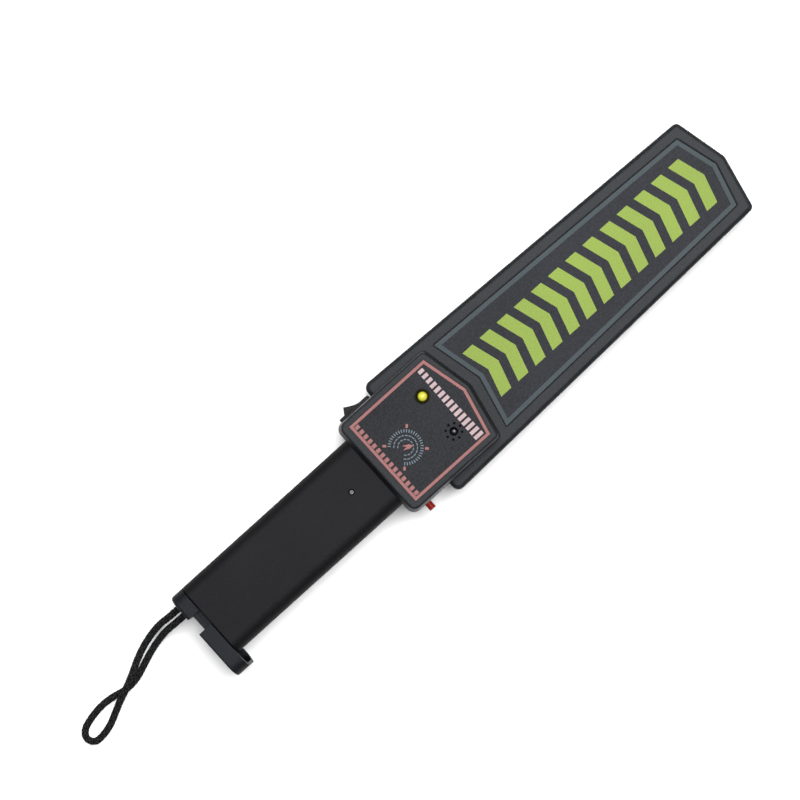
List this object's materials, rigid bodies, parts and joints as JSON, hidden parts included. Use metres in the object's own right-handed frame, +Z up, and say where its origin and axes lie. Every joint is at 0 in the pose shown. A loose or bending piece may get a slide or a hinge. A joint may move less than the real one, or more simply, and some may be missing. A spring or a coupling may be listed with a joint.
{
  "type": "security metal detector wand",
  "caption": "Hand-held metal detector wand: flat search blade, raised control housing with lamp, buzzer, rocker switch and push button, handle with sliding battery door, wrist strap.",
  "frame": {"origin": "on the surface the wand lies on, below the middle of its length and width, measured without the wrist strap", "axes": "+X along the wand from handle to tip, +Y across it towards the rocker switch, +Z up through the front with the labels"},
  "size_m": [0.5074, 0.0822, 0.045],
  "materials": {
    "head_plastic": "fine moulded texture, slightly blue dark grey",
    "handle_plastic": "smooth satin black",
    "cap_plastic": "satin dark blue-black",
    "label_film": "printed film, dark field with a blue-grey border",
    "panel_film": "printed film, dark field with a salmon border",
    "switch_plastic": "glossy black",
    "button_plastic": "glossy red",
    "lamp_lens": "diffuse yellow-green lens",
    "holder_plastic": "glossy black",
    "strap_cord": "round black braid",
    "crimp_metal": "pressed brass",
    "contact_metal": "tinned brass",
    "screw_steel": "zinc-plated steel",
    "trimmer_metal": "bright turned metal",
    "battery_case": "plain wrapped metal can",
    "board_fibre": "green lacquered board",
    "component_plastic": "black moulded components",
    "coil_copper": "enamelled copper wire",
    "former_plastic": "natural moulded plastic",
    "lead_insulation": "thin insulated wire"
  },
  "bodies": {
    "wand": {"head_front_shell": "head_plastic", "head_back_shell": "head_plastic", "head_label": "label_film", "control_label": "panel_film", "handle_front_shell": "handle_plastic", "handle_back_shell": "handle_plastic", "handle_end_plate": "cap_plastic", "strap_crimp": "crimp_metal", "wrist_strap": "strap_cord", "battery": "battery_case", "battery_clip": "component_plastic", "battery_leads": "lead_insulation", "circuit_board": "board_fibre", "board_components": "component_plastic", "indicator_lamp": "lamp_lens", "lamp_leads": "contact_metal", "lamp_holder": "holder_plastic", "buzzer": "component_plastic", "buzzer_diaphragm": "trimmer_metal", "trimmer_body": "component_plastic", "rocker_switch_body": "switch_plastic", "switch_terminals": "contact_metal", "button_switch": "component_plastic", "button_switch_pins": "contact_metal", "coil_former": "former_plastic", "search_coil": "coil_copper", "coil_leads": "lead_insulation", "head_screws": "screw_steel", "handle_screws": "screw_steel", "board_screws": "screw_steel"},
    "battery_door": {"battery_door": "cap_plastic"},
    "power_rocker": {"power_rocker": "switch_plastic"},
    "side_button": {"side_button": "button_plastic", "button_plunger": "component_plastic"},
    "trimmer_screw": {"trimmer_screw": "trimmer_metal"}
  },
  "joints": [
    {"name": "battery_door_slide", "type": "slide", "parent": "wand", "child": "battery_door", "axis": [0, -1, 0], "range_m": [-0.0102, 0.0165]},
    {"name": "power_rocker_rock", "type": "hinge", "parent": "wand", "child": "power_rocker", "pos_m": [-0.0515, 0.03215, 0.021], "axis": [0, 0, 1], "range_deg": [0, 42.4]},
    {"name": "side_button_press", "type": "slide", "parent": "wand", "child": "side_button", "axis": [0, 1, 0], "range_m": [0, 0.0012], "stiffness_N_per_m": 400},
    {"name": "trimmer_turn", "type": "hinge", "parent": "wand", "child": "trimmer_screw", "pos_m": [-0.0844, 0, 0.035], "axis": [0, 0, 1], "range_deg": [-135, 135]}
  ]
}
